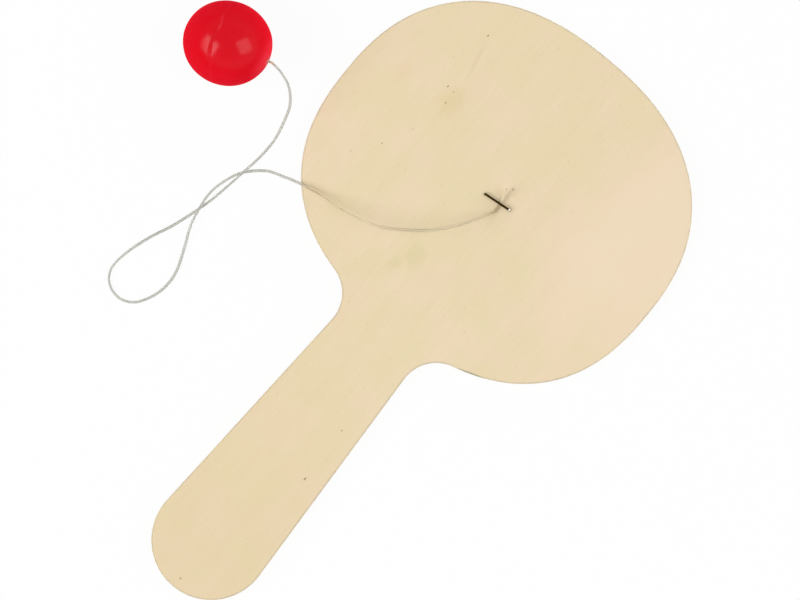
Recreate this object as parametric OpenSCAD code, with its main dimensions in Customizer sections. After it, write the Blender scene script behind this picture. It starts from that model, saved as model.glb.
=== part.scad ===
// Paddle ball game: a thin plywood paddle with a hollow rubber ball on an elastic thread.
// The paddle lies on its back on z = 0 with its handle along -Y, and the origin is the middle
// of the blade. The ball lies on the same surface, to the left of the blade. Millimetres.

/* [Paddle] */
// Width of the blade at its widest line, which crosses the origin
blade_w = 137.6; // [120:0.1:160]
// From the widest line to the top of the blade
blade_top = 60.9; // [52:0.1:75]
// From the widest line to the bottom of the blade, where the neck starts
blade_bottom = 60.8; // [52:0.2:75]
// How square the upper half of the blade is, where 2 is an ellipse
top_squareness = 2.33; // [2:0.01:3]
// How square the lower half of the blade is
bottom_squareness = 2.45; // [2:0.05:3]
// Width of the handle at the neck
neck_w = 32.8; // [28:0.2:38]
// Radius of the hollow curve on each side of the neck
neck_r = 14; // [8:0.5:20]
// Width of the handle at its wide end
handle_w = 42.4; // [40:0.2:50]
// From the widest line of the blade to the end of the handle
handle_end = 181.2; // [165:0.1:205]

/* [Plywood] */
// Thickness of the veneer on the striking face
face_ply = 1.2; // [0.8:0.1:2]
// Thickness of the core, whose grain runs across the paddle
core_ply = 1.6; // [1:0.1:3]
// Thickness of the back veneer
back_ply = 1.2; // [0.8:0.1:2]

/* [Staple] */
// Width of the staple's crown over its legs
crown_w = 11; // [8:0.5:14]
// Width of the flat wire
wire_w = 0.8; // [0.6:0.05:1.2]
// Thickness of the flat wire
wire_t = 0.5; // [0.4:0.05:0.7]
// How far each leg is clinched inwards along the back
clinch_len = 3.6; // [2:0.1:4]
// Middle of the crown, to the right of the paddle's line
staple_x = 2.3; // [-10:0.1:10]
// Middle of the crown, above the blade's widest line
staple_y = -3.2; // [-10:0.1:10]
// Turn of the crown from the blade's widest line, in degrees
staple_turn = 5.9; // [-15:0.1:15]
// Gap between the wire and the wood on each side
wire_gap = 0.03; // [0.02:0.01:0.05]

/* [Elastic] */
// Diameter of the rubber thread at rest
thread_d = 1; // [0.8:0.1:1.2]
// Height left for the thread under the staple's crown
pinch_h = 0.7; // [0.5:0.05:0.9]
// Length of the cut end past the crown, measured along the blade
tail_len = 5.6; // [3:0.1:8]
// Height of the cut end over the blade
tail_rise = 2.6; // [0.5:0.1:4]
// Where the thread crosses under the crown, from the crown's middle
thread_side = 1.2; // [-3:0.1:3]

/* [Ball] */
// Length of the ball from pole to pole, across its moulding seam
ball_len = 32.2; // [28:0.1:40]
// Diameter of the ball at its seam
ball_d = 30.1; // [27:0.1:40]
// Thickness of the rubber wall
ball_wall = 3; // [2:0.1:4]
// Gap around the thread in the hole
hole_gap = 0.05; // [0.03:0.01:0.1]
// Depth of the pucker that the knotted thread pulls round the hole
pucker_depth = 0.5; // [0.2:0.1:1]
// Radius of the pucker
pucker_r = 2.6; // [2:0.1:4]
// How far the moulding flash stands out at the seam
flash_h = 0.15; // [0.05:0.05:0.3]
// Width of the moulding flash
flash_w = 0.8; // [0.4:0.1:1.2]
// Middle of the ball, to the right of the paddle's line
ball_x = -106.1; // [-130:0.1:-90]
// Middle of the ball, above the blade's widest line
ball_y = -20.6; // [-60:0.1:60]
// Direction of the line through the ball's poles, in degrees from +X towards +Y
ball_turn = 21; // [-20:1:60]
// Tilt of the poles' line up from the surface, in degrees
ball_tilt = 21; // [0:1:40]
// Direction of the hole, which was pierced a little off the pole
hole_turn = 15; // [-20:1:60]
// Tilt of the hole up from the surface, in degrees
hole_tilt = 8; // [0:1:40]

/* [Hidden] */

paddle_t = back_ply + core_ply + face_ply;
cut_over = 0.5;
blade_steps = 80;
neck_steps = 20;
arc_step = 4;

// Middle line of the free stretch of thread, from the staple to the ball: over the blade in a
// hump, off the blade's edge, over and under itself in a loop on the table, and up to the hole.
strand_route = [
    [2.8, -8.4, 5.2], [0.7, -12.4, 7.8], [-3.8, -19.4, 10.8], [-9.9, -26.4, 12],
    [-16.9, -31.8, 11.6], [-23.9, -36.3, 10.6], [-31.4, -38.7, 9], [-39.4, -40.2, 7.2],
    [-46.9, -40.6, 5.6], [-55.4, -42.3, 4.7], [-61.9, -44.2, 2.4], [-68, -46.5, 0.8],
    [-74, -52, 0.6], [-77, -58, 1], [-78.5, -65, 1.7], [-77.9, -72, 2], [-76.3, -79, 1.4],
    [-73.1, -86.4, 0.6], [-70.1, -94.5, 0.6], [-69.7, -101, 0.6], [-71.3, -107, 0.6],
    [-74.6, -112.2, 0.6], [-79.3, -114.5, 0.6], [-84.2, -113.7, 0.6], [-87.5, -110.8, 0.6],
    [-88.8, -106.4, 0.6], [-87.8, -99.5, 0.6], [-85.1, -91, 0.6], [-81.4, -82.5, 0.6],
    [-78, -72, 0.6], [-76.1, -64.5, 1], [-74, -52, 2], [-72.8, -43.5, 2.2], [-72.7, -35.5, 4.2],
    [-74.4, -27.2, 8.4], [-76.2, -22.6, 12], [-80, -18.7, 15.8], [-84.6, -16.8, 17.7],
    [-87.5, -16.3, 17.9]
];
strand_steps = 2;

function unit(v) = v / norm(v);

// Smooth curve through the points p, with n steps between each two.
function spline(p, n) = let (last = len(p) - 1) [
    for (i = [0 : last - 1], k = [0 : n - 1])
        let (
            a = p[max(i - 1, 0)], b = p[i], c = p[i + 1], d = p[min(i + 2, last)],
            t = k / n
        )
        b + t * ((c - a) / 2 + t * ((2 * a - 5 * b + 4 * c - d) / 2 + t * (3 * b - a - 3 * c + d) / 2)),
    p[last]
];

function headings(p) = let (last = len(p) - 1) [
    for (i = [0 : last]) unit(p[min(i + 1, last)] - p[max(i - 1, 0)])
];

// One sideways direction for each point, carried along the curve without a twist.
function sideways(h, first) = [
    for (
        i = 0, s = unit(first - (first * h[0]) * h[0]);
        i < len(h);
        i = i + 1, s = i < len(h) ? unit(s - (s * h[i]) * h[i]) : s
    ) s
];

// Round thread along the points p. heights gives its squeezed height at each point; its
// width grows to match.
module thread_along(p, first, heights) {
    sides = 8;
    h = headings(p);
    s = sideways(h, first);
    last = len(p) - 1;
    skin = [
        for (i = [0 : last], k = [0 : sides - 1])
            let (a = (k + 0.5) * 360 / sides, squeeze = heights[i] / thread_d)
            p[i] + thread_d / 2 * (cos(a) * s[i] / sqrt(squeeze) + sin(a) * squeeze * cross(h[i], s[i]))
    ];
    walls = [
        for (i = [0 : last - 1], k = [0 : sides - 1])
            let (a = i * sides + k, b = i * sides + (k + 1) % sides)
            each [[a, a + sides, b + sides], [a, b + sides, b]]
    ];
    start_face = [for (k = [0 : sides - 1]) k];
    end_face = [for (k = [sides - 1 : -1 : 0]) last * sides + k];
    polyhedron(points = skin, faces = concat([start_face], walls, [end_face]));
}

// Point of the blade's edge, where turn runs from -90 at the bottom to 90 at the top.
function blade_edge(turn) = let (
    depth = turn > 0 ? blade_top : blade_bottom,
    squareness = turn > 0 ? top_squareness : bottom_squareness
) [
    blade_w / 2 * pow(max(0, cos(turn)), 2 / squareness),
    sign(turn) * depth * pow(abs(sin(turn)), 2 / squareness)
];

// The handle's side is a straight line from the neck to the round end.
handle_r = handle_w / 2;
handle_end_y = handle_r - handle_end;
neck_y = -blade_bottom - neck_r / 2;
taper = atan((handle_r - neck_w / 2) / (neck_y - handle_end_y));
side_dir = [sin(taper), -cos(taper)];
side_out = [cos(taper), sin(taper)];
side_end = [0, handle_end_y] + handle_r * side_out;

// The hollow curve at the neck touches the handle's side and the blade's edge. Its middle
// lies neck_r off the handle's side, at the height where it is also neck_r off the blade.
function neck_middle(y) = let (p = side_end + neck_r * side_out)
    [p[0] - side_dir[0] / side_dir[1] * (p[1] - y), y];
neck_search = [for (turn = [-90 : 0.1 : -30]) turn];
function gap_to_blade(c) = min([for (turn = neck_search) norm(blade_edge(turn) - c)]);
function neck_height(low, high, tries) = let (mid = (low + high) / 2)
    tries == 0 ? mid
    : gap_to_blade(neck_middle(mid)) > neck_r ? neck_height(mid, high, tries - 1)
    : neck_height(low, mid, tries - 1);
neck_c = neck_middle(neck_height(-blade_bottom - 2 * neck_r, -blade_bottom, 16));
neck_gap = gap_to_blade(neck_c);
neck_turn = [for (turn = neck_search) if (norm(blade_edge(turn) - neck_c) <= neck_gap) turn][0];
neck_top = blade_edge(neck_turn) - neck_c;
neck_top_angle = atan2(neck_top[1], neck_top[0]);
neck_side_angle = 180 + taper;

// Right half of the paddle's outline, from the top of the blade down to the handle's end.
right_half = concat(
    [for (i = [0 : blade_steps]) blade_edge(90 + (neck_turn - 90) * i / blade_steps)],
    [for (i = [1 : neck_steps])
        let (a = neck_top_angle + (neck_side_angle - neck_top_angle) * i / neck_steps)
        neck_c + neck_r * [cos(a), sin(a)]],
    [for (a = [taper : -arc_step : -90]) [0, handle_end_y] + handle_r * [cos(a), sin(a)]],
    [[0, -handle_end]]
);

module paddle_outline() {
    polygon(concat(right_half, [
        for (i = [len(right_half) - 2 : -1 : 1]) [-right_half[i][0], right_half[i][1]]
    ]));
}

// Carries what follows to the staple's place, with z = 0 on the table and x along the crown.
module at_staple() {
    translate([staple_x, staple_y, 0]) rotate(staple_turn) children();
}

// Rectangle with rounded corners from [-w / 2, low] to [w / 2, high].
module round_box(w, low, high, r) {
    translate([-w / 2 + r, low]) square([w - 2 * r, high - low]);
    translate([-w / 2, low + r]) square([w, high - low - 2 * r]);
    for (x = [-w / 2 + r, w / 2 - r], y = [low + r, high - r])
        translate([x, y]) circle(r = r, $fn = 32);
}

// The bent wire seen from its edge: crown, two legs, and the clinched ends with their chisel
// tips, whose points lie deepest in the wood.
bend_r = wire_t / 2;
tip_x = crown_w / 2 - clinch_len;
module wire_outline() {
    top = paddle_t + pinch_h + wire_t;
    heel_x = tip_x + wire_t / 2;
    difference() {
        round_box(crown_w, 0, top, bend_r + wire_t);
        round_box(crown_w - 2 * wire_t, wire_t, top - wire_t, bend_r);
        polygon([
            [-heel_x, -cut_over], [heel_x, -cut_over], [heel_x, 0], [tip_x, wire_t],
            [tip_x, wire_t + cut_over], [-tip_x, wire_t + cut_over], [-tip_x, wire_t], [-heel_x, 0]
        ]);
    }
}

// Room for the legs through the plies, and for the bends and the clinched ends in the back.
module staple_room() {
    hole_w = wire_w + 2 * wire_gap;
    outer_x = crown_w / 2 + wire_gap;
    leg_x = outer_x - wire_t - 2 * wire_gap;
    bend_x = leg_x - bend_r;
    at_staple() for (side = [0, 1]) mirror([side, 0, 0]) {
        translate([leg_x, -hole_w / 2, -cut_over])
            cube([outer_x - leg_x, hole_w, paddle_t + 2 * cut_over]);
        translate([bend_x, -hole_w / 2, -cut_over])
            cube([outer_x - bend_x, hole_w, cut_over + wire_t + bend_r + wire_gap]);
        translate([tip_x - wire_gap, -hole_w / 2, -cut_over])
            cube([outer_x - tip_x + wire_gap, hole_w, cut_over + wire_t + wire_gap]);
    }
}

module ply(low, thickness, tint) {
    color(tint) difference() {
        translate([0, 0, low]) linear_extrude(thickness) paddle_outline();
        staple_room();
    }
}

module face_veneer() {
    ply(back_ply + core_ply, face_ply, [0.92, 0.85, 0.71]);
}

module core_veneer() {
    ply(back_ply, core_ply, [0.82, 0.72, 0.56]);
}

module back_veneer() {
    ply(0, back_ply, [0.92, 0.85, 0.71]);
}

module staple() {
    color([0.25, 0.2, 0.13]) at_staple() translate([0, wire_w / 2, 0])
        rotate([90, 0, 0]) linear_extrude(wire_w) wire_outline();
}

// A point given along the crown, across it and over the blade.
function on_blade(p) = [
    staple_x + p[0] * cos(staple_turn) - p[1] * sin(staple_turn),
    staple_y + p[0] * sin(staple_turn) + p[1] * cos(staple_turn),
    paddle_t + p[2]
];
crown_dir = [cos(staple_turn), sin(staple_turn), 0];
across_dir = [-sin(staple_turn), cos(staple_turn), 0];

// The held end: two diameters of round thread, squeezed flat under the crown, then the cut
// end, which springs up off the blade. Places along it count from the crown, across it.
lead_len = 2 * thread_d + wire_w / 2;
tail_drift_share = -1;
function held_h(y) = let (off = max(0, abs(y) - wire_w / 2) / thread_d)
    min(thread_d, pinch_h + off * (thread_d - pinch_h));
function held_rise(y) = pow(max(0, (y - wire_w / 2) / (tail_len - wire_w / 2)), 1.6);
held_places = concat(
    [-lead_len, -lead_len + thread_d, -wire_w / 2 - thread_d / 2, -wire_w / 2],
    [for (i = [0 : 7]) wire_w / 2 + (tail_len - wire_w / 2) * i / 7]
);
held_route = [
    for (y = held_places) on_blade([
        thread_side + tail_drift_share * thread_d * held_rise(y), y, held_h(y) / 2 + tail_rise * held_rise(y)
    ])
];
held_heights = [for (y = held_places) held_h(y)];

module elastic_tail() {
    color([0.86, 0.85, 0.8]) thread_along(held_route, crown_dir, held_heights);
}

// The ball's middle, and the directions in which its pole and its hole lie from there.
function heading(turn, tilt) = [cos(tilt) * cos(turn), cos(tilt) * sin(turn), sin(tilt)];
pole_dir = heading(ball_turn, ball_tilt);
hole_dir = heading(hole_turn, hole_tilt);
hole_side = [-sin(hole_turn), cos(hole_turn), 0];
ball_z = norm([ball_len / 2 * sin(ball_tilt), ball_d / 2 * cos(ball_tilt)]);
ball_c = [ball_x, ball_y, ball_z];

// From the middle to the ball's skin, and to where the knotted end starts, along the hole.
hole_off = acos(pole_dir * hole_dir);
skin_len = 1 / norm([cos(hole_off) / (ball_len / 2), sin(hole_off) / (ball_d / 2)]);
mouth_len = skin_len + thread_d / 2;

function on_hole_line(p) =
    ball_c + p[0] * cross(hole_side, hole_dir) + p[1] * hole_side + p[2] * hole_dir;

module elastic_strand() {
    start = on_blade([thread_side, -lead_len, thread_d / 2]);
    finish = on_hole_line([0, 0, mouth_len]);
    middle = spline(concat(
        [start - thread_d * across_dir], strand_route, [finish + thread_d * hole_dir]
    ), strand_steps);
    route = concat([start], middle, [finish]);
    color([0.86, 0.85, 0.8])
        thread_along(route, crown_dir, [for (p = route) thread_d]);
}

// The end in the ball: straight in through the wall, then an overhand knot that is wider
// than the hole, and a short cut end. The knot is a trefoil that is left open at one lobe.
knot_share = 0.7;
knot_depth_share = 3;
knot_tilt = -90 - atan(0.5);
function trefoil(t) = let (r = 2 + cos(3 * t)) [r * cos(2 * t), r * sin(2 * t), sin(3 * t)];
function knot_point(t) = let (p = knot_share * thread_d * (trefoil(t) - trefoil(0))) [
    p[0],
    p[1] * cos(knot_tilt) - p[2] * sin(knot_tilt),
    p[1] * sin(knot_tilt) + p[2] * cos(knot_tilt) + skin_len - ball_wall - knot_depth_share * thread_d
];
knot_end = 315;
knot_out = unit(knot_point(knot_end + 1) - knot_point(knot_end));
knot_places = concat(
    [for (s = [0 : 0.25 : 1]) [0, 0, mouth_len + s * (knot_point(0)[2] + thread_d - mouth_len)]],
    [for (t = [0 : 15 : knot_end]) knot_point(t)],
    [for (s = [0.4, 0.8, 1.2]) knot_point(knot_end) + s * thread_d * knot_out]
);

module elastic_knot() {
    route = [for (p = knot_places) on_hole_line(p)];
    color([0.86, 0.85, 0.8]) thread_along(route, hole_side, [for (p = route) thread_d]);
}

// Half shell of the ball, with its seam on z = 0 and its pole up.
shell_steps = 28;
module half_shell() {
    a = ball_len / 2;
    b = ball_d / 2;
    flash = [[b + flash_h, 0], [b + flash_h, flash_w / 4]];
    flash_turn = acos(flash_w / 2 / a);
    outer = [
        for (i = [0 : shell_steps])
            let (t = flash_turn * (1 - i / shell_steps))
            [b * sin(t), a * cos(t)]
    ];
    inner = [
        for (i = [0 : shell_steps])
            let (t = 90 * i / shell_steps)
            [(b - ball_wall) * sin(t), (a - ball_wall) * cos(t)]
    ];
    rotate_extrude($fn = 96) polygon(concat(flash, outer, inner));
}

// Room for the thread through the shell, and for the pucker in its skin, along the hole.
function pucker(r) = pucker_depth * (1 + cos(180 * r / pucker_r)) / 2;
pucker_steps = 8;
module hole_room() {
    top = skin_len + cut_over;
    sunk = [
        for (i = [0 : pucker_steps])
            let (r = pucker_r * i / pucker_steps)
            [r, sqrt(skin_len * skin_len - r * r) - pucker(r)]
    ];
    cylinder(r = thread_d / 2 + hole_gap, h = top, $fn = 48);
    rotate_extrude($fn = 48) polygon(concat(sunk, [[pucker_r, top], [0, top]]));
}

module along_line(turn, tilt) {
    translate(ball_c) rotate([0, 90 - tilt, turn]) children();
}

module ball_hole_half() {
    color([0.85, 0.1, 0.14]) difference() {
        along_line(ball_turn, ball_tilt) half_shell();
        along_line(hole_turn, hole_tilt) hole_room();
    }
}

module ball_rear_half() {
    color([0.8, 0.09, 0.13]) along_line(ball_turn, ball_tilt) rotate([180, 0, 0]) half_shell();
}

face_veneer();
core_veneer();
back_veneer();
staple();
elastic_tail();
elastic_strand();
elastic_knot();
ball_hole_half();
ball_rear_half();
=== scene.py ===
"""Looks of the paddle ball game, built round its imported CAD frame, in metres."""

import math

import bmesh
import bpy
import numpy as np
from mathutils import Matrix, Quaternion, Vector, noise


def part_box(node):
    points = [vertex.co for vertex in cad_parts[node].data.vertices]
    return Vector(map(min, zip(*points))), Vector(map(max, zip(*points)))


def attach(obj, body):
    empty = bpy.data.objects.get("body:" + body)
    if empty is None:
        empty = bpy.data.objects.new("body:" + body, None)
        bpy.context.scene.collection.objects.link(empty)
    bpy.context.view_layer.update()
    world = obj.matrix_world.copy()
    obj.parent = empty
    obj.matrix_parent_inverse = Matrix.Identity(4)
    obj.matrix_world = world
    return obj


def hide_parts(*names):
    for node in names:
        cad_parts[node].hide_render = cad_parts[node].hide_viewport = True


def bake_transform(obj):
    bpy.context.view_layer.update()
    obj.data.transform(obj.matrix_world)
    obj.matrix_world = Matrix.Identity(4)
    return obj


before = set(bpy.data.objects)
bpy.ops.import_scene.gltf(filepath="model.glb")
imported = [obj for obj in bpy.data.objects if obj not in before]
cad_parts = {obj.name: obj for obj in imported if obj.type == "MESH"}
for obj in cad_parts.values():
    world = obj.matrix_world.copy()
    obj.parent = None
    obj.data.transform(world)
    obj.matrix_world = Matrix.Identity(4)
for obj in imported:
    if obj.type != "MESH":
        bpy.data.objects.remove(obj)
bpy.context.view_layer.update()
scene = bpy.context.scene
scene.view_settings.view_transform = "Standard"
MM = 0.001


# Camera. It looks straight down on the game from 1.1 m, with the paddle's handle turned
# towards the lower left of the view.
camera_height = 1.1
view_width = 283.2 * MM
view_turn = 39.4
camera_data = bpy.data.cameras.new("camera")
camera_data.sensor_width = 36
camera_data.lens = camera_data.sensor_width * camera_height / view_width
camera = bpy.data.objects.new("camera", camera_data)
camera.location = (-2.31 * MM, -51.81 * MM, camera_height + 4 * MM)
camera.rotation_euler = (0, 0, math.radians(view_turn))
scene.collection.objects.link(camera)
scene.camera = camera


# Elastic thread. Natural rubber cut into a square strand about 1 mm thick. One end is stapled
# to the blade, the free stretch humps over the blade and loops on the table, and the other
# end goes into the ball, where a knot holds it. The three pieces below are that one thread.

# The lengths of the pieces are in millimetres, and MM takes them to metres.
paddle_top = 4
thread_d = 1
staple_place, staple_turn = (2.3, -3.2), math.radians(5.9)
thread_side, lead_len = 1.2, 2.4
ball_len, ball_d, ball_wall = 32.2, 30.1, 3
ball_turn, ball_tilt = math.radians(21), math.radians(21)
hole_turn, hole_tilt = math.radians(15), math.radians(8)


def heading(turn, tilt):
    """Direction at that turn about the upright and that tilt above the table."""
    level = math.cos(tilt)
    return np.array([level * math.cos(turn), level * math.sin(turn), math.sin(tilt)])


def level_side(turn):
    """Level direction square to every heading of that turn."""
    return np.array([-math.sin(turn), math.cos(turn), 0])


# The ball's pole and its hole, which was pierced a little off the pole.
ball_rest = math.hypot(ball_len / 2 * math.sin(ball_tilt), ball_d / 2 * math.cos(ball_tilt))
ball_middle = np.array([-106.1, -20.6, ball_rest])
pole_dir, pole_side = heading(ball_turn, ball_tilt), level_side(ball_turn)
hole_dir, hole_side = heading(hole_turn, hole_tilt), level_side(hole_turn)
hole_off = math.acos(pole_dir @ hole_dir)
skin_len = 1 / math.hypot(math.cos(hole_off) / (ball_len / 2), math.sin(hole_off) / (ball_d / 2))
mouth_len = skin_len + thread_d / 2
# Points of the free stretch, from the staple to the ball.
thread_route = [
    [2.8, -8.4, 5.2], [0.7, -12.4, 7.8], [-3.8, -19.4, 10.8], [-9.9, -26.4, 12],
    [-16.9, -31.8, 11.6], [-23.9, -36.3, 10.6], [-31.4, -38.7, 9], [-39.4, -40.2, 7.2],
    [-46.9, -40.6, 5.6], [-55.4, -42.3, 4.7], [-61.9, -44.2, 2.4], [-68, -46.5, 0.8],
    [-74, -52, 0.6], [-77, -58, 1], [-78.5, -65, 1.7], [-77.9, -72, 2], [-76.3, -79, 1.4],
    [-73.1, -86.4, 0.6], [-70.1, -94.5, 0.6], [-69.7, -101, 0.6], [-71.3, -107, 0.6],
    [-74.6, -112.2, 0.6], [-79.3, -114.5, 0.6], [-84.2, -113.7, 0.6], [-87.5, -110.8, 0.6],
    [-88.8, -106.4, 0.6], [-87.8, -99.5, 0.6], [-85.1, -91, 0.6], [-81.4, -82.5, 0.6],
    [-78, -72, 0.6], [-76.1, -64.5, 1], [-74, -52, 2], [-72.8, -43.5, 2.2], [-72.7, -35.5, 4.2],
    [-74.4, -27.2, 8.4], [-76.2, -22.6, 12], [-80, -18.7, 15.8], [-84.6, -16.8, 17.7],
    [-87.5, -16.3, 17.9],
]


def on_blade(along_crown, across_crown, height):
    """Point over the blade, measured from the middle of the staple."""
    c, s = math.cos(staple_turn), math.sin(staple_turn)
    x, y = staple_place
    return np.array([x + along_crown * c - across_crown * s, y + along_crown * s + across_crown * c,
                     paddle_top + height])


def on_hole_line(p):
    """Point in the part's frame, from one given square to the ball's hole line and along it."""
    return ball_middle + p[0] * np.cross(hole_side, hole_dir) + p[1] * hole_side + p[2] * hole_dir


def smooth_curve(points, steps):
    """Catmull-Rom curve through the points, in that many steps from each to the next."""
    p = np.array([points[0], *points, points[-1]], float)
    curve = [
        b + t * ((c - a) / 2 + t * (
            (2 * a - 5 * b + 4 * c - d) / 2 + t * (3 * b - a - 3 * c + d) / 2))
        for a, b, c, d in zip(p, p[1:], p[2:], p[3:]) for t in np.arange(steps) / steps
    ]
    return np.array([*curve, p[-1]])


def distances(path):
    """How far along a path each of its points lies."""
    return np.concatenate([[0], np.cumsum(np.linalg.norm(np.diff(path, axis=0), axis=1))])


def linear(hex_colour):
    """An sRGB hex colour as the linear colour that a socket takes."""
    rgb = [int(hex_colour[i:i + 2], 16) / 255 for i in (1, 3, 5)]
    return (*[c / 12.92 if c <= 0.04045 else ((c + 0.055) / 1.055) ** 2.4 for c in rgb], 1)


def add(tree, kind, sockets=None, **settings):
    """Adds a node. Each socket, by name or number, takes a value or the output of another node."""
    node = tree.nodes.new(kind)
    for name, value in settings.items():
        setattr(node, name, value)
    for name, value in (sockets or {}).items():
        socket = node.inputs[name] if isinstance(name, int) else next(
            s for s in node.inputs if s.name == name and s.enabled)
        if isinstance(value, bpy.types.Node):
            value = next(s for s in value.outputs if s.enabled)
        if isinstance(value, bpy.types.NodeSocket):
            tree.links.new(value, socket)
        else:
            socket.default_value = value
    return node


def material(name):
    """A new material and its node tree, which holds only the output node."""
    made = bpy.data.materials.new(name)
    made.use_nodes = True
    tree = made.node_tree
    tree.nodes.clear()
    return made, tree, tree.nodes.new("ShaderNodeOutputMaterial")


# Cut rubber thread: pale gum rubber that lets much light through, dull and a little dusty with
# talc. The eye gets a soft line that takes up the tone of what it lies on. The stretch over the
# blade is the palest, and the loops on the table are tinted greyer as painted shade.
thread_rubber, tree, output = material("natural_rubber_cut_thread")
along, around, pinched = [
    add(tree, "ShaderNodeAttribute", attribute_name=label).outputs["Fac"]
    for label in ("along", "around", "pinched")]
spot = add(tree, "ShaderNodeTexCoord").outputs["Object"]
talc = add(tree, "ShaderNodeTexNoise", {
    "Vector": spot, "Scale": 1 / (2.5 * MM), "Detail": 2, "Roughness": 0.5})
drift = add(tree, "ShaderNodeTexNoise", {
    "W": along, "Scale": 1 / (14 * MM), "Detail": 2}, noise_dimensions="1D")
blade_tone, table_shade_tone = [
    add(tree, "ShaderNodeMix", {"Factor": drift, "A": linear(a), "B": linear(b)}, data_type="RGBA")
    for a, b in (("#efe6d2", "#f8f0dc"), ("#d5d5cc", "#e4e4dc"))]
# Painted shade: where the thread leaves the blade for the table, it is tinted greyer.
tone_change = add(tree, "ShaderNodeMapRange", {
    "Value": along, "From Min": 74 * MM, "From Max": 80 * MM}, interpolation_type="SMOOTHSTEP")
tone = add(tree, "ShaderNodeMix", {
    "Factor": tone_change, "A": blade_tone, "B": table_shade_tone}, data_type="RGBA")
# Talc dulls it, and where the staple or the ball's hole pinches the rubber, it turns white.
dust = add(tree, "ShaderNodeMapRange", {
    "Value": talc, "From Min": 0.5, "From Max": 0.8, "To Max": 0.4})
for strength, tint in ((dust, "#e9e6df"), (pinched, "#f3e6c8")):
    tone = add(tree, "ShaderNodeMix", {
        "Factor": strength, "A": tone, "B": linear(tint)}, data_type="RGBA")
# The stretch on the table lets less light through than the one over the blade, and a pinched place
# least of all.
clearness = add(tree, "ShaderNodeMapRange", {"Value": tone_change, "To Min": 0.86, "To Max": 0.52})
clearness = add(tree, "ShaderNodeMapRange", {
    "Value": pinched, "To Min": clearness, "To Max": 0.3})
# The knife left faint lines along the strand.
knife_lines = add(tree, "ShaderNodeCombineXYZ", {"X": along, "Y": around})
knife_scale = add(tree, "ShaderNodeMapping", {
    "Vector": knife_lines, "Scale": (1 / (12 * MM), 12, 1)})
knife_marks = add(tree, "ShaderNodeTexNoise", {"Vector": knife_scale, "Scale": 1, "Detail": 1})
relief = add(tree, "ShaderNodeBump", {
    "Height": knife_marks, "Strength": 0.3, "Distance": 0.04 * MM})
shader = add(tree, "ShaderNodeBsdfPrincipled", {
    "Base Color": tone, "Roughness": 0.32, "IOR": 1.5, "Transmission Weight": clearness,
    "Normal": relief})
tree.links.new(shader.outputs[0], output.inputs["Surface"])


def thread_tree():
    """Node tree that sweeps a square strand with rounded corners along a chain of edges."""
    tree = bpy.data.node_groups.new("square_thread_along_a_path", "GeometryNodeTree")
    face = tree.interface.new_socket
    face("Path", in_out="INPUT", socket_type="NodeSocketGeometry")
    face("Thread Width", in_out="INPUT", socket_type="NodeSocketFloat").default_value = 0.84 * MM
    face("Corner Radius", in_out="INPUT", socket_type="NodeSocketFloat").default_value = 0.2 * MM
    face("Uneven Share", in_out="INPUT", socket_type="NodeSocketFloat").default_value = 0.05
    face("Finish", in_out="INPUT", socket_type="NodeSocketMaterial")
    face("Thread", in_out="OUTPUT", socket_type="NodeSocketGeometry")
    given = tree.nodes.new("NodeGroupInput").outputs
    turn = add(tree, "GeometryNodeInputNamedAttribute", {"Name": "turn"})
    along = add(tree, "GeometryNodeInputNamedAttribute", {"Name": "along"})
    line = add(tree, "GeometryNodeMeshToCurve", {"Mesh": given["Path"]})
    upright = add(tree, "GeometryNodeSetCurveNormal", {"Curve": line}, mode="Z_UP")
    turned = add(tree, "GeometryNodeSetCurveTilt", {"Curve": upright, "Tilt": turn})
    square = add(tree, "GeometryNodeCurvePrimitiveQuadrilateral", {
        "Width": given["Thread Width"], "Height": given["Thread Width"]})
    soft = add(tree, "GeometryNodeFilletCurve", {
        "Curve": square, "Count": 3, "Radius": given["Corner Radius"]}, mode="POLY")
    place = add(tree, "GeometryNodeSplineParameter")
    section = add(tree, "GeometryNodeStoreNamedAttribute", {
        "Geometry": soft, "Name": "around", "Value": place.outputs["Factor"]})
    waves = add(tree, "ShaderNodeTexNoise", {
        "W": along, "Scale": 1 / (7 * MM), "Detail": 2}, noise_dimensions="1D")
    low = add(tree, "ShaderNodeMath", {0: 1, 1: given["Uneven Share"]}, operation="SUBTRACT")
    high = add(tree, "ShaderNodeMath", {0: 1, 1: given["Uneven Share"]}, operation="ADD")
    width = add(tree, "ShaderNodeMapRange", {
        "Value": waves, "From Min": 0.25, "From Max": 0.75, "To Min": low, "To Max": high})
    swept = add(tree, "GeometryNodeCurveToMesh", {
        "Curve": turned, "Profile Curve": section, "Scale": width, "Fill Caps": True})
    smooth = add(tree, "GeometryNodeSetShadeSmooth", {"Geometry": swept, "Shade Smooth": True})
    real = add(tree, "GeometryNodeRealizeInstances", {"Geometry": smooth})
    finished = add(tree, "GeometryNodeSetMaterial", {"Geometry": real, "Material": given["Finish"]})
    end = tree.nodes.new("NodeGroupOutput")
    tree.links.new(finished.outputs[0], end.inputs[0])
    return tree


def grown(name, tree, mesh, **sizes):
    """The piece that a node tree makes from a mesh, as an object with a plain mesh."""
    seed = bpy.data.objects.new(name + "_seed", mesh)
    scene.collection.objects.link(seed)
    modifier = seed.modifiers.new("build", "NODES")
    modifier.node_group = tree
    for socket in tree.interface.items_tree:
        if socket.in_out == "INPUT" and socket.name.replace(" ", "_") in sizes:
            modifier[socket.identifier] = sizes[socket.name.replace(" ", "_")]
    graph = bpy.context.evaluated_depsgraph_get()
    plain = bpy.data.meshes.new_from_object(seed.evaluated_get(graph), depsgraph=graph)
    bpy.data.objects.remove(seed)
    piece = bpy.data.objects.new(name, plain)
    scene.collection.objects.link(piece)
    return piece


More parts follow.
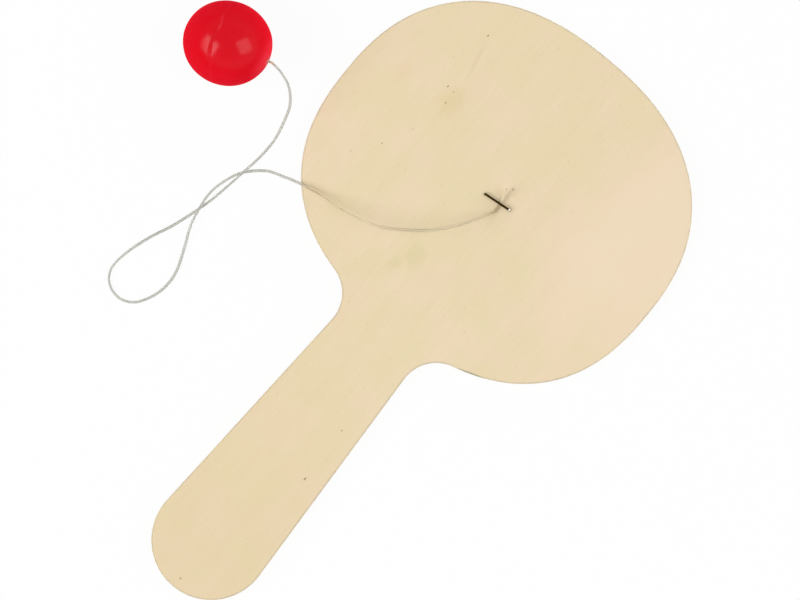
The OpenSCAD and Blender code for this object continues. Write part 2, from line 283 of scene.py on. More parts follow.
def thread(name, path, turns, pinches):
    """Thread along a path in millimetres, with its section's turn and whitening at each point."""
    line = bpy.data.meshes.new(name + "_path")
    line.from_pydata((np.array(path) * MM).tolist(), [(i, i + 1) for i in range(len(path) - 1)], [])
    for label, values in (("along", distances(path) * MM), ("turn", turns), ("pinched", pinches)):
        line.attributes.new(label, "FLOAT", "POINT").data.foreach_set("value", values)
    return grown(name, square_thread, line, Finish=thread_rubber)


square_thread = thread_tree()

# The free stretch. Its section turns slowly, as a rubber strand does that was never laid
# straight, so that it shows now a side and now its wider diagonal.
start = on_blade(thread_side, -lead_len, thread_d / 2)
finish = on_hole_line([0, 0, mouth_len])
across_crown = on_blade(0, 1, 0) - on_blade(0, 0, 0)
route = [start - thread_d * across_crown, *thread_route, finish + thread_d * hole_dir]
free_path = np.array([start, *smooth_curve(route, steps=6), finish])
free_along = distances(free_path)
share = free_along / free_along[-1]
quarter_turns, uneven_turns, uneven_share = 5, 3, 0.035
wobble = uneven_share * np.sin(2 * math.pi * uneven_turns * share) * share * (1 - share)
free_turns = quarter_turns * math.pi / 2 * (share + wobble)
white_from, white_full = free_along[-1] - 2.5, free_along[-1] - 0.8
strand = thread("thread_free_stretch", free_path, free_turns,
                np.interp(free_along, [white_from, white_full], [0, 1]))
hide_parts("elastic_strand")
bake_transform(strand)


# Stapled end of the thread. It is squeezed flat under the crown, and its cut end springs up
# off the blade on the far side.
tail_len, tail_rise, tail_curl = 5.6, 2.6, 1.6
pinch_h, wire_w = 0.7, 0.8


def held_height(across):
    """Height left to the thread at that distance from the middle of the crown."""
    off = max(0, abs(across) - wire_w / 2) / thread_d
    return min(thread_d, pinch_h + off * (thread_d - pinch_h))


def held_point(across):
    """Point of the stapled end's middle line."""
    rise = max(0, (across - wire_w / 2) / (tail_len - wire_w / 2)) ** tail_curl
    height = held_height(across) / 2 + tail_rise * rise
    return on_blade(thread_side - thread_d * rise, across, height)


held_places = np.linspace(-lead_len, tail_len, 48)
held_path = np.array([held_point(a) for a in held_places])
tail = thread("thread_stapled_end", held_path, np.zeros(len(held_path)),
              np.interp(held_places, [-wire_w, wire_w], [0, 1]))
held_along = distances(held_path) * MM
crown_dir = on_blade(1, 0, 0) - on_blade(0, 0, 0)
where = np.zeros(len(tail.data.vertices), np.float32)
tail.data.attributes["along"].data.foreach_get("value", where)
squeeze = np.interp(where, held_along, [held_height(a) / thread_d for a in held_places])
middle = np.array([np.interp(where, held_along, held_path[:, k] * MM) for k in range(3)]).T
off = np.array([v.co for v in tail.data.vertices]) - middle
sideways = off @ crown_dir
off += np.outer(sideways * (1 / np.sqrt(squeeze) - 1), crown_dir)
off[:, 2] *= squeeze
tail.data.vertices.foreach_set("co", (middle + off).astype(np.float32).ravel())
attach(tail, "paddle")
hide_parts("elastic_tail")


# Knotted end of the thread: straight in through the wall of the ball, then an overhand knot
# that is wider than the hole. The knot is tilted so that its start runs on from the straight.
knot_share, knot_depth, knot_end = 0.7, 3, 315
knot_tilt = math.radians(-90) - math.atan(0.5)


def trefoil(t):
    """Point at t degrees of a trefoil knot, whose open form is the overhand knot."""
    t = math.radians(t)
    r = 2 + math.cos(3 * t)
    return np.array([r * math.cos(2 * t), r * math.sin(2 * t), math.sin(3 * t)])


def knot_point(t):
    """Point of the knot, given square to the hole line and along it."""
    x, y, z = knot_share * thread_d * (trefoil(t) - trefoil(0))
    c, s = math.cos(knot_tilt), math.sin(knot_tilt)
    return np.array([x, y * c - z * s,
                     y * s + z * c + skin_len - ball_wall - knot_depth * thread_d])


knot_out = knot_point(knot_end) - knot_point(knot_end - 1)
knot_out /= np.linalg.norm(knot_out)
way_in = np.linspace(mouth_len, knot_point(0)[2] + thread_d, 12)
knot_path = [on_hole_line(p) for p in (
    [[0, 0, z] for z in way_in] + [knot_point(t) for t in range(0, knot_end + 1, 5)]
    + [knot_point(knot_end) + s * thread_d * knot_out for s in (0.4, 0.8, 1.2)])]
knot = thread("thread_knotted_end", knot_path, np.zeros(len(knot_path)), np.ones(len(knot_path)))
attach(knot, "ball")
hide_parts("elastic_knot")


# Plywood paddle. Three basswood veneers glued crosswise: the two outer ones run with the
# paddle, the core across it. It is sawn out, and its edges are sanded just enough to take
# the splinters off.
face_arris, glue_arris = 0.55 * MM, 0.05 * MM


def whole_faces(node):
    """A copy of a CAD node's mesh to edit, with its triangles joined into whole faces."""
    bm = bmesh.new()
    bm.from_mesh(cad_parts[node].data)
    bmesh.ops.remove_doubles(bm, verts=bm.verts, dist=1e-6)
    bmesh.ops.dissolve_limit(bm, angle_limit=math.radians(0.5), verts=bm.verts, edges=bm.edges)
    return bm


def piece_from(bm, name, finish):
    """The piece that an edited mesh makes, with its one material."""
    mesh = bpy.data.meshes.new(name)
    bm.to_mesh(mesh)
    bm.free()
    mesh.materials.append(finish)
    piece = bpy.data.objects.new(name, mesh)
    scene.collection.objects.link(piece)
    return piece


def eased_ply(node, name, finish, arris_low, arris_high):
    """A CAD veneer with its outer edges eased and its flat faces kept flat."""
    bm = whole_faces(node)
    handled = bm.faces.layers.float.new("handled")
    low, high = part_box(node)[0].z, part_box(node)[1].z
    staple_spot, staple_reach = Vector(staple_place) * MM, 15 * MM
    for level, arris in ((low, arris_low), (high, arris_high)):
        rim = [
            e for e in bm.edges
            if all(abs(v.co.z - level) < 1e-6 for v in e.verts) and len(e.link_faces) == 2
            and sum(abs(f.normal.z) > 0.9 for f in e.link_faces) == 1
            and (e.verts[0].co.xy - staple_spot).length > staple_reach
        ]
        steps = 4 if arris == face_arris else 1
        eased = bmesh.ops.bevel(
            bm, geom=rim, offset=arris, segments=steps, profile=0.5, affect="EDGES")
        if arris == face_arris:
            for f in eased["faces"]:
                f[handled] = 1
    for f in bm.faces:
        f.smooth = abs(f.normal.z) < 0.999
    piece = piece_from(bm, name, finish)
    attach(piece, "paddle")
    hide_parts(node)
    return piece


def veneer(name, along_y, rosy, straw, line_tone, seed, marks=()):
    """Bare sanded basswood veneer with its grain along Y or X, cut from a place of its own."""
    made, tree, output = material(name)
    spot = add(tree, "ShaderNodeTexCoord").outputs["Object"]
    lay = add(tree, "ShaderNodeMapping", {
        "Vector": spot, "Location": (seed * 0.37, seed * 0.21, seed * 0.11),
        "Rotation": (0, 0, 0 if along_y else math.pi / 2)})

    def grain(across, length, detail, roughness=0.5, distortion=0):
        """Streaks of that width across the grain and that length along it, in millimetres."""
        scaled = add(tree, "ShaderNodeMapping", {
            "Vector": lay, "Scale": (1 / (across * MM), 1 / (length * MM), 1 / (across * MM))})
        return add(tree, "ShaderNodeTexNoise", {
            "Vector": scaled, "Scale": 1, "Detail": detail, "Roughness": roughness,
            "Distortion": distortion})

    # Broad patches of sapwood tone, then growth bands, then fibres 0.5 mm wide, drawn about
    # twice as coarse as real ones so that they show, then flecks.
    patches = grain(16, 22, 4, 0.6)
    bands = grain(6, 90, 4, 0.55, 0.6)
    fibres = grain(0.5, 12, 4, 0.6)
    flecks = grain(0.35, 2.2, 1)
    tints = [
        (patches, 0.35, 0.65, 0, 1, rosy), (bands, 0.35, 0.7, 0, 0.1, line_tone),
        (fibres, 0.35, 0.75, 0, 0.14, line_tone), (flecks, 0.72, 0.8, 0, 0.35, "#b79a6c")]
    for x, y, across, length, tilt, tint, strength, soft in marks:
        local = add(tree, "ShaderNodeMapping", {
            "Vector": spot, "Location": (x * MM, y * MM, paddle_top * MM),
            "Rotation": (0, 0, math.radians(tilt)),
            "Scale": (across * MM, length * MM, paddle_top * MM)}, vector_type="TEXTURE")
        ragged = add(tree, "ShaderNodeTexNoise", {
            "Vector": local, "Scale": 1.6, "Detail": 4, "Roughness": 0.6})
        reach = add(tree, "ShaderNodeVectorMath", {0: local}, operation="LENGTH").outputs["Value"]
        uneven = add(tree, "ShaderNodeMath", {0: ragged, 1: soft, 2: reach},
                     operation="MULTIPLY_ADD")
        tints.append((uneven, 0.35 + 0.5 * soft, 1 + 0.5 * soft, strength, 0, tint))
    # Painted shade: the wood is darker towards the end of the handle.
    up_handle = add(tree, "ShaderNodeSeparateXYZ", {"Vector": spot}).outputs["Y"]
    tints.append((up_handle, -190 * MM, -40 * MM, 0.3, 0, "#e3cda2"))
    # Each tint lies over those before it, as strong as its pattern makes it from low to high.
    colour = linear(straw)
    for pattern, low, high, at_low, at_high, tint in tints:
        strength = add(tree, "ShaderNodeMapRange", {
            "Value": pattern, "From Min": low, "From Max": high,
            "To Min": at_low, "To Max": at_high}, interpolation_type="SMOOTHSTEP")
        colour = add(tree, "ShaderNodeMix", {
            "Factor": strength, "A": colour, "B": linear(tint)}, data_type="RGBA")
    # The eased arris is tinted greyer, unevenly: a thin greyer line at the outline.
    handled = add(tree, "ShaderNodeAttribute", attribute_name="handled").outputs["Fac"]
    arris_tint_share = add(tree, "ShaderNodeMapRange", {
        "Value": patches, "From Min": 0.3, "From Max": 0.6, "To Min": 0.15, "To Max": 0.4},
        interpolation_type="SMOOTHSTEP")
    arris_tint = add(tree, "ShaderNodeMath", {0: handled, 1: arris_tint_share}, operation="MULTIPLY")
    colour = add(tree, "ShaderNodeMix", {
        "Factor": arris_tint, "A": colour, "B": linear("#aea893")}, data_type="RGBA")
    height = add(tree, "ShaderNodeMath", {0: fibres, 1: bands, 2: 0.3}, operation="MULTIPLY_ADD")
    relief = add(tree, "ShaderNodeBump", {
        "Height": height, "Strength": 0.35, "Distance": 0.06 * MM})
    dullness = add(tree, "ShaderNodeMapRange", {
        "Value": fibres, "From Min": 0.3, "From Max": 0.7, "To Min": 0.62, "To Max": 0.74},
        interpolation_type="SMOOTHSTEP")
    shader = add(tree, "ShaderNodeBsdfPrincipled", {
        "Base Color": colour, "Roughness": dullness, "Specular IOR Level": 0.3, "Normal": relief})
    tree.links.new(shader.outputs[0], output.inputs["Surface"])
    return made


# Marks in the striking face, each as place, half width across and along the grain, turn in
# degrees, tone, strength and raggedness: a lighter, rosier patch at one side, which is painted
# light that brightens that side, a small knot's stain with a warmer tint beside it, a mineral
# streak, a thin dark line at the edge near the neck, two greenish patches, and single specks.
face_marks = [
    (52, 18, 36, 62, 0, "#fbe4c9", 0.6, 0.5),
    (-32.8, 14.5, 6, 8, 0, "#e2cb8c", 0.3, 0.9),
    (-53, 12, 4, 6, 0, "#ebc596", 0.16, 0.9),
    (-35, 30, 1.2, 9, 12, "#d2b488", 0.16, 0.8),
    (34, -56.1, 0.75, 8.5, -70.7, "#5f5240", 0.6, 0.3),
    (-8, -36, 5, 7, 20, "#dccf95", 0.3, 1),
    (-12, -43, 3, 4, 0, "#dccf95", 0.28, 1),
    (-37.2, 17.4, 0.35, 0.6, 0, "#8a6a40", 0.8, 0.3),
    (-34.4, 17.2, 0.3, 0.4, 0, "#a07c4c", 0.6, 0.3),
    (-34.1, 12.4, 0.35, 0.5, 0, "#94733f", 0.7, 0.3),
    (-37.6, 40.3, 0.4, 0.5, 0, "#6e5537", 0.8, 0.3),
    (-42.5, -13, 0.3, 0.6, 0, "#9a7f58", 0.6, 0.3),
    (3.8, 3.8, 0.4, 0.6, 0, "#a99a78", 0.7, 0.3),
    (11.1, -100.6, 0.35, 0.5, 0, "#8d7450", 0.7, 0.3),
    (11.9, -122.1, 0.45, 0.9, 0, "#7d6443", 0.8, 0.3),
    (0.2, -177.3, 0.5, 0.6, 0, "#84683f", 0.7, 0.3),
]
face_wood = veneer("basswood_veneer_sanded", True, "#f5e0be", "#f1e0b8", "#e2c89a", 1, face_marks)
core_wood = veneer("basswood_core_across", False, "#dcc39a", "#d2b98a", "#b89865", 5)
back_wood = veneer("basswood_back_veneer", True, "#efdcb9", "#ebdab2", "#dcc495", 9)
face_ply = eased_ply("face_veneer", "paddle_face_veneer", face_wood, glue_arris, face_arris)
core_ply = eased_ply("core_veneer", "paddle_core_veneer", core_wood, glue_arris, glue_arris)
back_ply = eased_ply("back_veneer", "paddle_back_veneer", back_wood, face_arris, glue_arris)


# Staple. Flat steel wire with a dark lacquer, driven through the ply and clinched flat on
# the back. The crown holds the thread down.
staple_wire, tree, output = material("lacquered_steel_wire")
spot = add(tree, "ShaderNodeTexCoord").outputs["Object"]
scuffs = add(tree, "ShaderNodeTexNoise", {
    "Vector": spot, "Scale": 1 / (0.9 * MM), "Detail": 4, "Roughness": 0.7})
# Dark lacquer with bare steel where the former rubbed it, most of all at one bend: a nearly
# black bronze line with a pale glint near its end.
tone_change = add(tree, "ShaderNodeMapRange", {
    "Value": scuffs, "From Min": 0.58, "From Max": 0.75, "To Max": 0.7})
from_bend = add(tree, "ShaderNodeVectorMath", {0: spot, 1: on_blade(5.1, 0, 1.1) * MM},
                operation="DISTANCE").outputs["Value"]
bare = add(tree, "ShaderNodeMapRange", {
    "Value": from_bend, "From Min": 0.3 * MM, "From Max": 0.48 * MM, "To Min": 1, "To Max": 0})
tone = linear("#58420f")
for strength, tint in ((tone_change, "#8d8265"), (bare, "#f8f3e6")):
    tone = add(tree, "ShaderNodeMix", {
        "Factor": strength, "A": tone, "B": linear(tint)}, data_type="RGBA")
relief = add(tree, "ShaderNodeBump", {"Height": scuffs, "Strength": 0.3, "Distance": 0.03 * MM})
shader = add(tree, "ShaderNodeBsdfPrincipled", {
    "Base Color": tone, "Metallic": 1.0, "Roughness": 0.3,
    "Coat Weight": 0.25, "Coat Roughness": 0.12, "Normal": relief})
tree.links.new(shader.outputs[0], output.inputs["Surface"])

bm = whole_faces("staple")
corners = [e for e in bm.edges if len(e.link_faces) == 2 and e.calc_face_angle() > math.radians(40)]
bmesh.ops.bevel(bm, geom=corners, offset=0.1 * MM, segments=3, profile=0.5, affect="EDGES")
for f in bm.faces:
    f.smooth = True
staple = piece_from(bm, "staple_bent_wire", staple_wire)
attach(staple, "paddle")
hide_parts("staple")


# Ball. Two moulded half shells of red rubber, cured together at the seam. The knotted thread
# pulls a small pucker round its hole, and the skin is a little uneven, as hollow rubber is.
hole_r, pucker_r, pucker_depth = 0.55, 2.6, 0.5
fold_count, fold_depth, fold_turn = 7, 0.12, 0.8
dent_depths_and_sizes = ((0.2, 11), (0.07, 5), (0.03, 2))
speck_place = np.array([13.1, 1.2, 7.6])
around_steps, skin_steps = 180, 110
pole_frame = np.array([np.cross(pole_side, pole_dir), pole_side, pole_dir])
hole_local = Vector(pole_frame @ hole_dir)
lean_axis = Vector((0, 0, 1)).cross(hole_local).normalized()


def on_pole_line(p):
    """Point in the part's frame, from one given square to the ball's pole line and along it."""
    return ball_middle + np.array(p) @ pole_frame


def red_rubber(name, deep, clear, film):
    """Solid red gum rubber, with the weight of the smooth film that the mould leaves on it."""
    made, tree, output = material(name)
    spot = add(tree, "ShaderNodeTexCoord").outputs["Object"]
    local = add(tree, "ShaderNodeMapping", {
        "Vector": spot, "Location": ball_middle * MM,
        "Rotation": (0, math.pi / 2 - hole_tilt, hole_turn)}, vector_type="TEXTURE")
    clouds = add(tree, "ShaderNodeTexNoise", {
        "Vector": local, "Scale": 1 / (7 * MM), "Detail": 3, "Roughness": 0.6})
    bloom = add(tree, "ShaderNodeTexNoise", {
        "Vector": local, "Scale": 1 / (1.2 * MM), "Detail": 5, "Roughness": 0.7})
    # Saturated, a little uneven in tone, and paler round the hole: first in the pucker, then
    # faintly round it. The pale tint is partly stretched rubber and partly a painted highlight on
    # the pucker's folds.
    tints = [(clouds, clear)]
    from_hole = add(tree, "ShaderNodeVectorMath", {0: local, 1: (0, 0, skin_len * MM)},
                    operation="DISTANCE").outputs["Value"]
    for reach, share, pale in ((10, 0.6, "#ef3a4b"), (2.6, 0.7, "#e8808a")):
        stretch_and_highlight = add(tree, "ShaderNodeMapRange", {
            "Value": from_hole, "From Min": 0.3 * reach * MM, "From Max": reach * MM,
            "To Min": share, "To Max": 0}, interpolation_type="SMOOTHSTEP")
        uneven = add(tree, "ShaderNodeMath", {0: stretch_and_highlight, 1: clouds}, operation="MULTIPLY")
        uneven = add(tree, "ShaderNodeMath", {0: uneven, 1: 1.8}, operation="MULTIPLY")
        tints.append((uneven, pale))
    # A speck of dirt sticks near the hole.
    from_speck = add(tree, "ShaderNodeVectorMath", {0: spot, 1: (ball_middle + speck_place) * MM},
                     operation="DISTANCE").outputs["Value"]
    speck = add(tree, "ShaderNodeMapRange", {
        "Value": from_speck, "From Min": 0.2 * MM, "From Max": 0.5 * MM,
        "To Min": 0.8, "To Max": 0}, interpolation_type="SMOOTHSTEP")
    # The band along the seam was trimmed, so it is matt and a little paler.
    band, pale_band = [
        add(tree, "ShaderNodeAttribute", attribute_name=label).outputs["Fac"]
        for label in ("seam_band", "seam_pale")]
    moulded = add(tree, "ShaderNodeMath", {0: 1, 1: band}, operation="SUBTRACT")
    tone = linear(deep)
    for strength, tint in (*tints, (speck, "#6e0714"), (pale_band, "#ee5560")):
        tone = add(tree, "ShaderNodeMix", {
            "Factor": strength, "A": tone, "B": linear(tint)}, data_type="RGBA")
    height = add(tree, "ShaderNodeMath", {0: bloom, 1: 0.12, 2: clouds}, operation="MULTIPLY_ADD")
    relief = add(tree, "ShaderNodeBump", {
        "Height": height, "Strength": 0.25, "Distance": 0.12 * MM})
    # The moulded skin is a thin smooth film on matt rubber. Seen at a slant its fine roughness
    # hides the gloss.
    slant = add(tree, "ShaderNodeLayerWeight", {"Blend": 0.5}).outputs["Facing"]
    gloss = add(tree, "ShaderNodeMapRange", {
        "Value": slant, "From Min": 0.06, "From Max": 0.26, "To Min": film, "To Max": 0.05 * film},
        interpolation_type="SMOOTHSTEP")
    gloss = add(tree, "ShaderNodeMath", {0: gloss, 1: moulded}, operation="MULTIPLY")
    shader = add(tree, "ShaderNodeBsdfPrincipled", {
        "Base Color": tone, "Roughness": 0.6, "Specular IOR Level": 0, "Normal": relief,
        "Coat Weight": gloss, "Coat Roughness": 0.17, "Coat Normal": relief,
        "Sheen Weight": 0.25, "Sheen Roughness": 0.5, "Sheen Tint": linear("#ee2a55")})
    tree.links.new(shader.outputs[0], output.inputs["Surface"])
    return made


ball_rubber = red_rubber("moulded_red_rubber", "#dc0e1b", "#e11324", 0.46)
flash_rubber = red_rubber("trimmed_red_rubber", "#dc1a27", "#e22a37", 0)


# The seam's band, and the groove at each side of it. The tables below go by the turn about the
# pole, in degrees. The first says how many millimetres the seam lies towards the hole: it jogs
# where the mould was worn.
band_half, band_edge, groove_depth = 0.48, 0.14, 0.2
jag_rate, jag_size = 9, 0.2
seam_jogs = np.array([
    (0, -1.2), (60, -0.6), (118, -0.1), (135, 0.75), (149, 0.95), (160, 2), (164, 2), (170, 1.75),
    (180, 1.6), (185, 1.3), (190, 0.95), (202, 0.95), (212, 1), (217, 1.5), (235, 1.4), (290, 0.2),
    (360, -1.2)])
# How open the seam is, and how pale the trimmed rubber of its band, from 0 to 1.
seam_open = np.array([
    (0, 0.3), (110, 0.2), (128, 0.03), (144, 0.05), (150, 0.15), (165, 0.15), (174, 1), (202, 1),
    (209, 0.15), (360, 0.3)])
seam_pale = np.array([
    (0, 0.05), (120, 0.04), (144, 0.05), (149, 0.16), (162, 0.17), (166.5, 0.32), (169, 0.15),
    (174, 0.08), (200, 0.08), (206, 0.25), (210, 0.05), (360, 0.05)])


def seam_wander(turn):
    """How far the seam lies towards the hole at that turn, with its fine jags."""
    jags = noise.noise(Vector((math.cos(turn), math.sin(turn), 0)) * jag_rate)
    return np.interp(math.degrees(turn) % 360, seam_jogs[:, 0], seam_jogs[:, 1]) + jag_size * jags


def off_seam(p):
    """Distance of a point of the skin from the middle of the seam's band."""
    return p.z - seam_wander(math.atan2(p.y, p.x))


def seam_share(table, p):
    """What a table of the seam says at a point of the skin."""
    return np.interp(math.degrees(math.atan2(p.y, p.x)) % 360, table[:, 0], table[:, 1])


def shell_point(theta, turn, rear, length, diameter):
    """Point of a skin of that length and diameter. The front half's rings lean to the hole."""
    side = math.sin(theta)
    d = Vector((side * math.cos(turn), side * math.sin(turn), math.cos(theta)))
    if rear:
        d.z = -d.z
    else:
        lean = 1 - theta / (math.pi / 2)
        d.rotate(Matrix.Rotation(hole_off * lean ** 2 * (3 - 2 * lean), 3, lean_axis))
    return d / math.hypot(math.hypot(d.x, d.y) / (diameter / 2), d.z / (length / 2))


def outer_point(theta, turn, rear):
    """Point of the outer skin, with its dents, the seam's grooves and the pucker at the hole."""
    p = shell_point(theta, turn, rear, ball_len, ball_d)
    out = Vector((p.x / ball_d ** 2, p.y / ball_d ** 2, p.z / ball_len ** 2)).normalized()
    off = off_seam(p)
    dent = sum(-depth * (0.5 + 0.5 * noise.noise(p / size))
               for depth, size in dent_depths_and_sizes)
    cut = math.exp(-((abs(off) - band_half) / band_edge) ** 2)
    groove = -groove_depth * seam_share(seam_open, p) * cut
    along = p.dot(hole_local)
    r = (p - along * hole_local).length
    p += out * (dent + groove)
    if along > 0 and r < pucker_r:
        fade = (1 + math.cos(math.pi * r / pucker_r)) / 2
        folds = fold_depth * math.sin(fold_count * turn + fold_turn)
        folds *= math.sin(math.pi * r / pucker_r) ** 2
        p -= hole_local * (pucker_depth * fade + folds)
    return p


def inner_point(theta, turn, rear):
    """Point of the hollow's wall. The rings follow those of the outer skin."""
    return shell_point(theta, turn, rear, ball_len - 2 * ball_wall, ball_d - 2 * ball_wall)


def skin(name, rings, closed, finish):
    """Mesh over rings of points, each joined to the next. A ring of one point is a pole."""
    bm = bmesh.new()
    rows = [[bm.verts.new(p) for p in ring] for ring in rings]
    for a, b in zip(rows, rows[1:] + rows[:1] if closed else rows[1:]):
        for k in range(max(len(a), len(b))):
            corners = [a[k % len(a)], a[(k + 1) % len(a)], b[(k + 1) % len(b)], b[k % len(b)]]
            bm.faces.new(list(dict.fromkeys(corners))).smooth = True
    bmesh.ops.recalc_face_normals(bm, faces=bm.faces)
    return piece_from(bm, name, finish)


def half_ball(name, rear):
    """One half shell: the moulded skin, the wall of the hollow, and the rim that joins them."""
    turns = [2 * math.pi * k / around_steps for k in range(around_steps)]
    outer_from = 0 if rear else math.asin(hole_r / skin_len)
    inner_from = 0 if rear else math.asin(hole_r / (skin_len - ball_wall))
    rings = []
    # The outer rings crowd towards the seam, where the grooves are narrow.
    for share in np.linspace(0, 1, skin_steps):
        theta = outer_from + (math.pi / 2 - outer_from) * (1 - (1 - share) ** 1.5)
        rings.append([outer_point(theta, t, rear) for t in (turns[:1] if theta == 0 else turns)])
    for share in np.linspace(1, 0, skin_steps // 2):
        theta = inner_from + (math.pi / 2 - inner_from) * share
        rings.append([inner_point(theta, t, rear) for t in (turns[:1] if theta == 0 else turns)])
    rings = [[Vector(on_pole_line(p)) * MM for p in ring] for ring in rings]
    piece = skin(name, rings, not rear, ball_rubber)
    local = [Vector(pole_frame @ (np.array(v.co) / MM - ball_middle)) for v in piece.data.vertices]
    band = np.array([
        1 / (1 + math.exp((abs(off_seam(p)) - band_half) / (band_edge / 3))) for p in local])
    pale = band * np.array([seam_share(seam_pale, p) for p in local])
    for label, values in (("seam_band", band), ("seam_pale", pale)):
        piece.data.attributes.new(label, "FLOAT", "POINT").data.foreach_set("value", values)
    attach(piece, "ball")
    return piece


hole_half = half_ball("ball_half_with_hole", False)
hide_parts("ball_hole_half")
rear_half = half_ball("ball_half_rear", True)
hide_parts("ball_rear_half")


# Moulding flash. A thin ragged ridge of rubber that was trimmed off by hand along the seam,
# paler and duller than the moulded skin.
def flash_tree():
    """Node tree that sweeps a low ridge of uneven height along a closed chain of edges."""
    tree = bpy.data.node_groups.new("trimmed_flash_along_a_seam", "GeometryNodeTree")
    face = tree.interface.new_socket
    face("Seam", in_out="INPUT", socket_type="NodeSocketGeometry")
    face("Flash Width", in_out="INPUT", socket_type="NodeSocketFloat").default_value = 0.46 * MM
    face("Uneven Share", in_out="INPUT", socket_type="NodeSocketFloat").default_value = 0.5
    face("Seed", in_out="INPUT", socket_type="NodeSocketInt").default_value = 7
    face("Finish", in_out="INPUT", socket_type="NodeSocketMaterial")
    face("Flash", in_out="OUTPUT", socket_type="NodeSocketGeometry")
    given = tree.nodes.new("NodeGroupInput").outputs
    along = add(tree, "GeometryNodeInputNamedAttribute", {"Name": "along"})
    line = add(tree, "GeometryNodeMeshToCurve", {"Mesh": given["Seam"]})
    radius = add(tree, "ShaderNodeMath", {0: given["Flash Width"], 1: 0.5}, operation="MULTIPLY")
    ridge = add(tree, "GeometryNodeCurvePrimitiveCircle", {"Resolution": 8, "Radius": radius})
    strip = add(tree, "ShaderNodeMath", {0: along, 1: given["Seed"]}, operation="ADD")
    waves = add(tree, "ShaderNodeTexNoise", {
        "W": strip, "Scale": 1 / (3 * MM), "Detail": 3}, noise_dimensions="1D")
    low = add(tree, "ShaderNodeMath", {0: 1, 1: given["Uneven Share"]}, operation="SUBTRACT")
    width = add(tree, "ShaderNodeMapRange", {
        "Value": waves, "From Min": 0.3, "From Max": 0.6, "To Min": low})
    swept = add(tree, "GeometryNodeCurveToMesh", {
        "Curve": line, "Profile Curve": ridge, "Scale": width})
    smooth = add(tree, "GeometryNodeSetShadeSmooth", {"Geometry": swept, "Shade Smooth": True})
    real = add(tree, "GeometryNodeRealizeInstances", {"Geometry": smooth})
    finished = add(tree, "GeometryNodeSetMaterial", {"Geometry": real, "Material": given["Finish"]})
    end = tree.nodes.new("NodeGroupOutput")
    tree.links.new(finished.outputs[0], end.inputs[0])
    return tree


# The flash sits a little below the skin, and deeper where the seam is shut.
seam_points, flash_sunk, shut_sunk = 360, 0.14, 0.12
seam_line = []
for t in [2 * math.pi * k / seam_points for k in range(seam_points)]:
    skin_point = outer_point(math.acos(-seam_wander(t) / (ball_d / 2)), t, True)
    sunk = flash_sunk + shut_sunk * (1 - seam_share(seam_open, skin_point))
    seam_line.append(on_pole_line(skin_point * (1 - sunk / skin_point.length)))
seam_line = np.array(seam_line)
seam_mesh = bpy.data.meshes.new("seam")
seam_mesh.from_pydata((seam_line * MM).tolist(),
                      [(i, (i + 1) % seam_points) for i in range(seam_points)], [])
seam_along = distances(seam_line) * MM
seam_mesh.attributes.new("along", "FLOAT", "POINT").data.foreach_set("value", seam_along)
flash = grown("ball_seam_flash", flash_tree(), seam_mesh, Finish=flash_rubber)
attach(flash, "ball")


# Stage: a white table under two soft boxes, in a room with a darker ceiling and white walls,
# of which the one beyond the blade is the brightest. Its lengths are in metres.
floor_paint, tree, output = material("white_table")
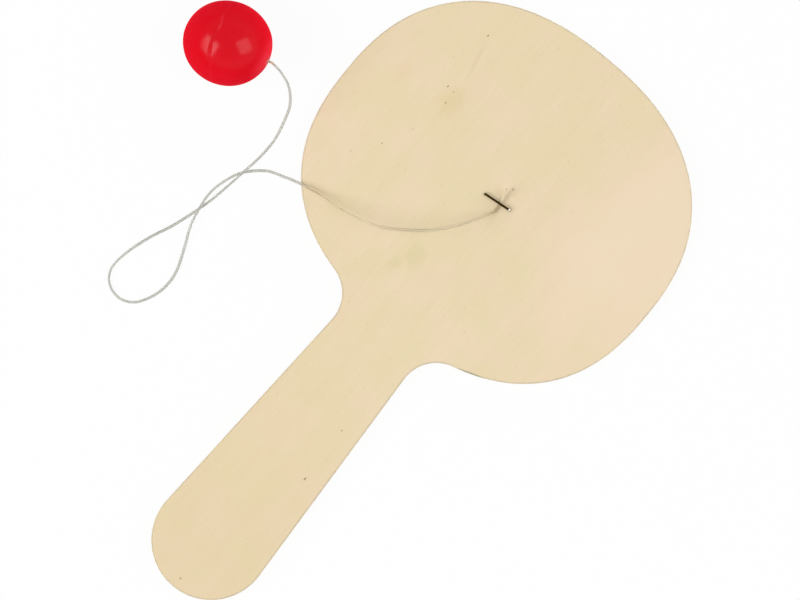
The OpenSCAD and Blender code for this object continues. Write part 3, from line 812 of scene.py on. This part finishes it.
# Seen directly, in gloss or through the thread, the table is nearly plain white with a faint
# shadow. Its light on the part is that of matt white paint.
path_kind = add(tree, "ShaderNodeLightPath").outputs
seen = path_kind["Is Camera Ray"]
for kind in ("Is Glossy Ray", "Is Transmission Ray"):
    seen = add(tree, "ShaderNodeMath", {0: seen, 1: path_kind[kind]}, operation="MAXIMUM")
glow = add(tree, "ShaderNodeMath", {0: seen, 1: 0.95}, operation="MULTIPLY")
table = add(tree, "ShaderNodeBsdfDiffuse", {"Color": linear("#fbfbfb")})
shine = add(tree, "ShaderNodeEmission", {"Color": linear("#ffffff"), "Strength": 1})
both = add(tree, "ShaderNodeMixShader", {0: glow, 1: table, 2: shine})
tree.links.new(both.outputs[0], output.inputs["Surface"])
half_table, table_gap = 6, 0.2 * MM
floor_mesh = bpy.data.meshes.new("table")
floor_mesh.from_pydata([(x * half_table, y * half_table, -table_gap)
                        for x, y in ((-1, -1), (1, -1), (1, 1), (-1, 1))], [], [(0, 1, 2, 3)])
floor_mesh.materials.append(floor_paint)
floor = bpy.data.objects.new("table", floor_mesh)
scene.collection.objects.link(floor)

world = bpy.data.worlds.new("white_room")
scene.world = world
world.use_nodes = True
tree = world.node_tree
view = add(tree, "ShaderNodeTexCoord").outputs["Generated"]
up = add(tree, "ShaderNodeSeparateXYZ", {"Vector": view})
# The room darkens from the walls to the ceiling. Low down, the wall beyond the blade gives the
# most light, and the one opposite gives less than the rest.
ceiling, low = [
    add(tree, "ShaderNodeMapRange", {
        "Value": up.outputs["Z"], "From Min": 0, "From Max": top, "To Min": foot, "To Max": head})
    for top, foot, head in ((0.7, 1.05, 0.2), (0.3, 4.4, 0))]
beyond = add(tree, "ShaderNodeVectorMath", {0: view, 1: (0.482, 0.876, 0)}, operation="DOT_PRODUCT")
walls = add(tree, "ShaderNodeMath", {0: beyond.outputs["Value"], 1: -0.2}, operation="MAXIMUM")
room = add(tree, "ShaderNodeMath", {0: walls, 1: low, 2: ceiling}, operation="MULTIPLY_ADD")
tree.links.new(room.outputs[0], tree.nodes["Background"].inputs["Strength"])
tree.nodes["Background"].inputs["Color"].default_value = (1, 1, 1, 1)
target, lamp_away, lamp_turn = Vector((-20 * MM, -40 * MM, 0)), 3.2, math.radians(40)
for name, across, tilt, size, power in (
        ("soft_box_left", Vector((-0.63, -0.777, 0)), math.radians(51), 2.34, 72),
        ("soft_box_right", Vector((0.891, 0.455, 0)), math.radians(41), 2.05, 28.5)):
    lamp_data = bpy.data.lights.new(name, "AREA")
    lamp_data.shape = "SQUARE"
    lamp_data.size = size
    lamp_data.energy = power
    lamp = bpy.data.objects.new(name, lamp_data)
    from_middle = across * math.sin(tilt) + Vector((0, 0, math.cos(tilt)))
    lamp.location = target + lamp_away * from_middle
    lamp.rotation_mode = "QUATERNION"
    facing = from_middle.to_track_quat("Z", "Y")
    lamp.rotation_quaternion = facing @ Quaternion((0, 0, 1), lamp_turn)
    scene.collection.objects.link(lamp)
